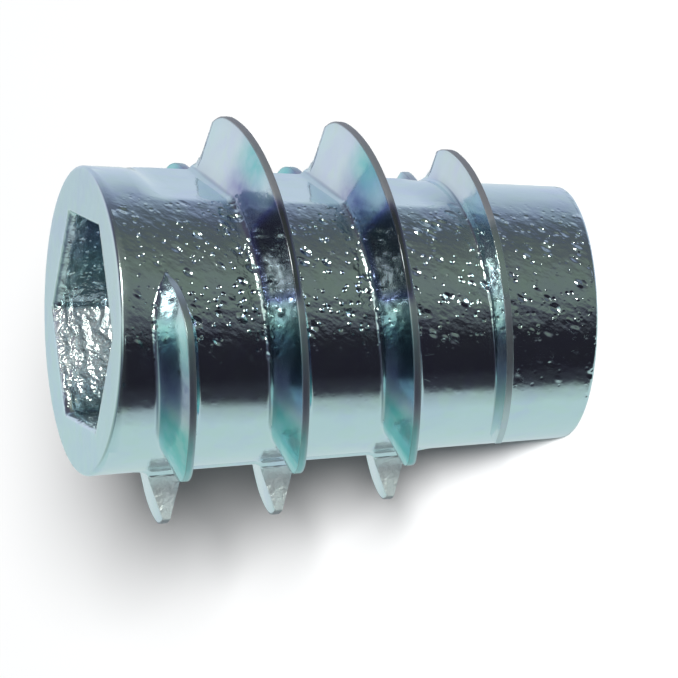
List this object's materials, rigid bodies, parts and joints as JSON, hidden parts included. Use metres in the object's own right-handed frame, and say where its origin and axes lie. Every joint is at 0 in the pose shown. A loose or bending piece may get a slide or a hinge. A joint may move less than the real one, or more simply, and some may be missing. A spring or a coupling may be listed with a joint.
{
  "type": "threaded insert",
  "caption": "Flangeless hexagon-drive threaded insert for wood: tapered zinc body with a coarse knife thread outside and a machine thread inside.",
  "frame": {"origin": "centre of the tail face, the narrow end that goes into the wood first", "axes": "+Z along the insert's axis, from the tail face to the drive face with the hexagon socket; the nose of the outer thread lies towards -Y"},
  "size_m": [0.0123, 0.0125, 0.015],
  "materials": {
    "plated_zinc": "bright blue-white zinc plating on a die-cast zinc body, glossy, with fine casting roughness"
  },
  "bodies": {
    "root": {"insert": "plated_zinc"}
  },
  "joints": []
}
